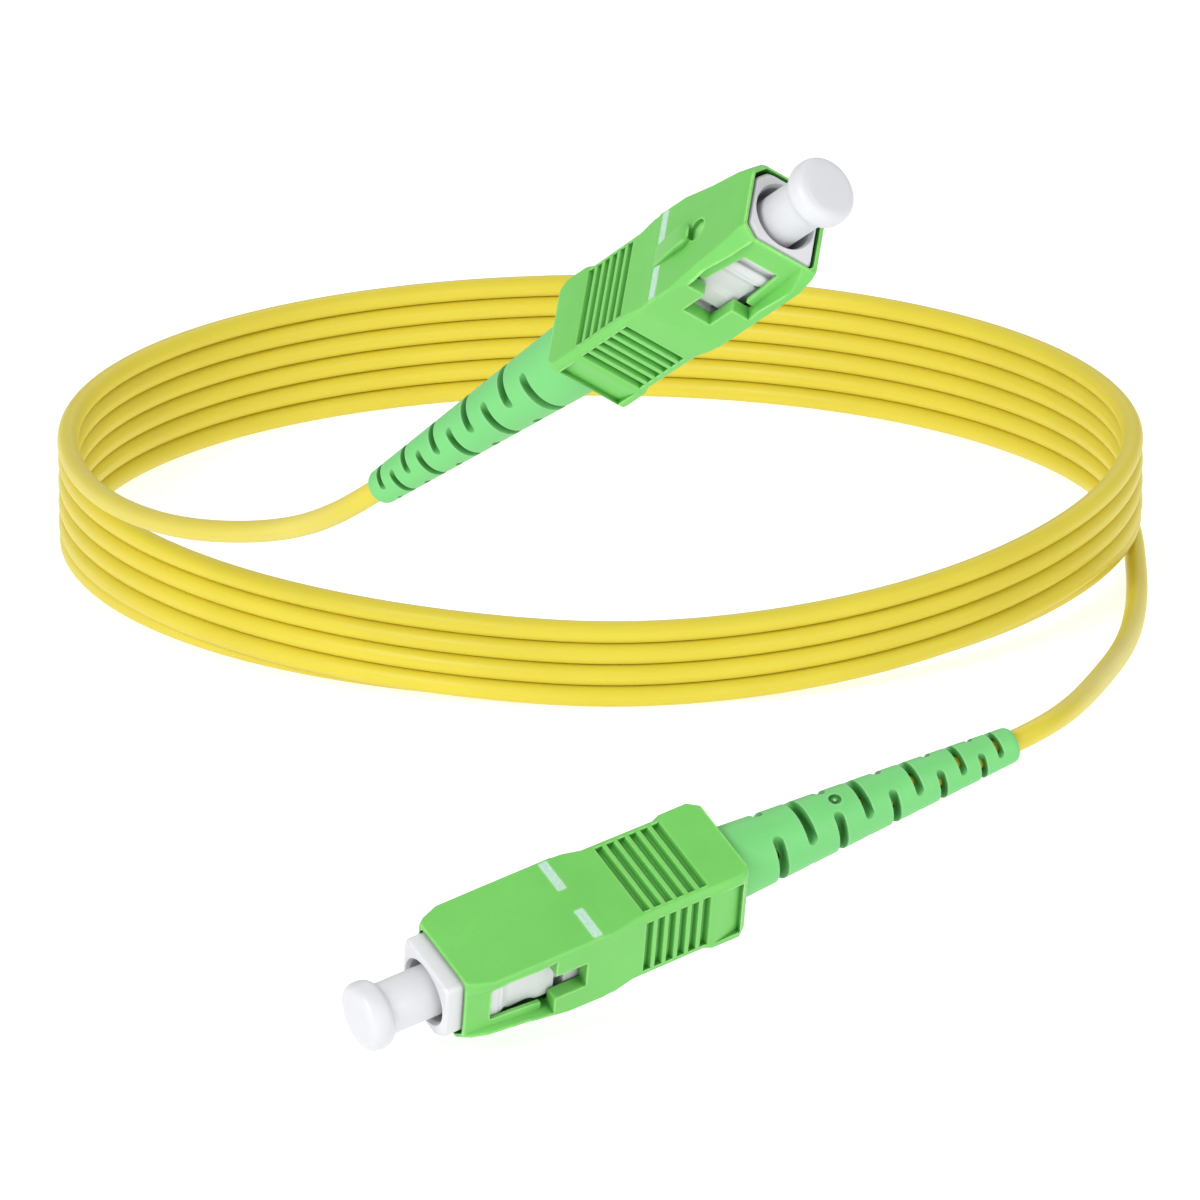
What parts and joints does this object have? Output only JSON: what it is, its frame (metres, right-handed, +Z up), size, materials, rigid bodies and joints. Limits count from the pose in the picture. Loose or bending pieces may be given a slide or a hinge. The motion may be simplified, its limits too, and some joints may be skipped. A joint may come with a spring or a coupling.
{
  "type": "fiber optic patch cord",
  "caption": "Coiled yellow simplex fiber patch cord with green angled-polish push-pull square connectors, slotted strain-relief boots and translucent dust caps.",
  "frame": {"origin": "centre of the whole cord's footprint, at the level of the surface it rests on", "axes": "+Z up along the coil's axis, +X to the coil's right, -Y towards the side the connectors lie on"},
  "size_m": [0.0918, 0.185, 0.0657],
  "materials": {
    "grip_plastic": "satin moulded plastic",
    "boot_elastomer": "matte moulded elastomer",
    "frame_plastic": "satin moulded plastic",
    "cap_plastic": "translucent moulded plastic",
    "zirconia": "ground and polished",
    "flange_metal": "nickel plated",
    "spring_steel": "drawn wire",
    "retainer_metal": "nickel plated",
    "crimp_metal": "annealed sleeve",
    "aramid": "yarn",
    "tube_plastic": "extruded tube",
    "glass_fiber": "clear",
    "jacket_yellow": "satin extruded sheath",
    "buffer_white": "extruded buffer"
  },
  "bodies": {
    "root": {"cable_jacket": "jacket_yellow", "aramid_layer": "aramid", "buffered_fiber": "buffer_white", "plug_frame_a": "frame_plastic", "strain_relief_boot_a": "boot_elastomer", "spring_a": "spring_steel", "spring_retainer_a": "retainer_metal", "crimp_sleeve_a": "crimp_metal", "aramid_skirt_a": "aramid", "plug_frame_b": "frame_plastic", "strain_relief_boot_b": "boot_elastomer", "spring_b": "spring_steel", "spring_retainer_b": "retainer_metal", "crimp_sleeve_b": "crimp_metal", "aramid_skirt_b": "aramid"},
    "grip_a": {"outer_grip_a": "grip_plastic"},
    "ferrule_core_a": {"ferrule_a": "zirconia", "ferrule_flange_a": "flange_metal", "guide_tube_a": "tube_plastic", "fiber_end_a": "glass_fiber"},
    "cap_a": {"dust_cap_a": "cap_plastic"},
    "grip_b": {"outer_grip_b": "grip_plastic"},
    "ferrule_core_b": {"ferrule_b": "zirconia", "ferrule_flange_b": "flange_metal", "guide_tube_b": "tube_plastic", "fiber_end_b": "glass_fiber"},
    "cap_b": {"dust_cap_b": "cap_plastic"}
  },
  "joints": [
    {"name": "grip_a_slide", "type": "slide", "parent": "root", "child": "grip_a", "axis": [0.5941, -0.5583, 0.5791], "range_m": [-0.0018, 0]},
    {"name": "ferrule_a_float", "type": "slide", "parent": "root", "child": "ferrule_core_a", "axis": [0.5941, -0.5583, 0.5791], "range_m": [-0.002, 0], "deforming": ["spring_a"]},
    {"name": "cap_a_pull", "type": "slide", "parent": "ferrule_core_a", "child": "cap_a", "axis": [0.5941, -0.5583, 0.5791], "range_m": [0, 0.012]},
    {"name": "grip_b_slide", "type": "slide", "parent": "root", "child": "grip_b", "axis": [-0.8555, -0.466, -0.2258], "range_m": [-0.0003, 0.0015]},
    {"name": "ferrule_b_float", "type": "slide", "parent": "root", "child": "ferrule_core_b", "axis": [-0.8555, -0.466, -0.2258], "range_m": [-0.002, 0], "deforming": ["spring_b"]},
    {"name": "cap_b_pull", "type": "slide", "parent": "ferrule_core_b", "child": "cap_b", "axis": [-0.8555, -0.466, -0.2258], "range_m": [-0.0004, 0.0116]}
  ]
}
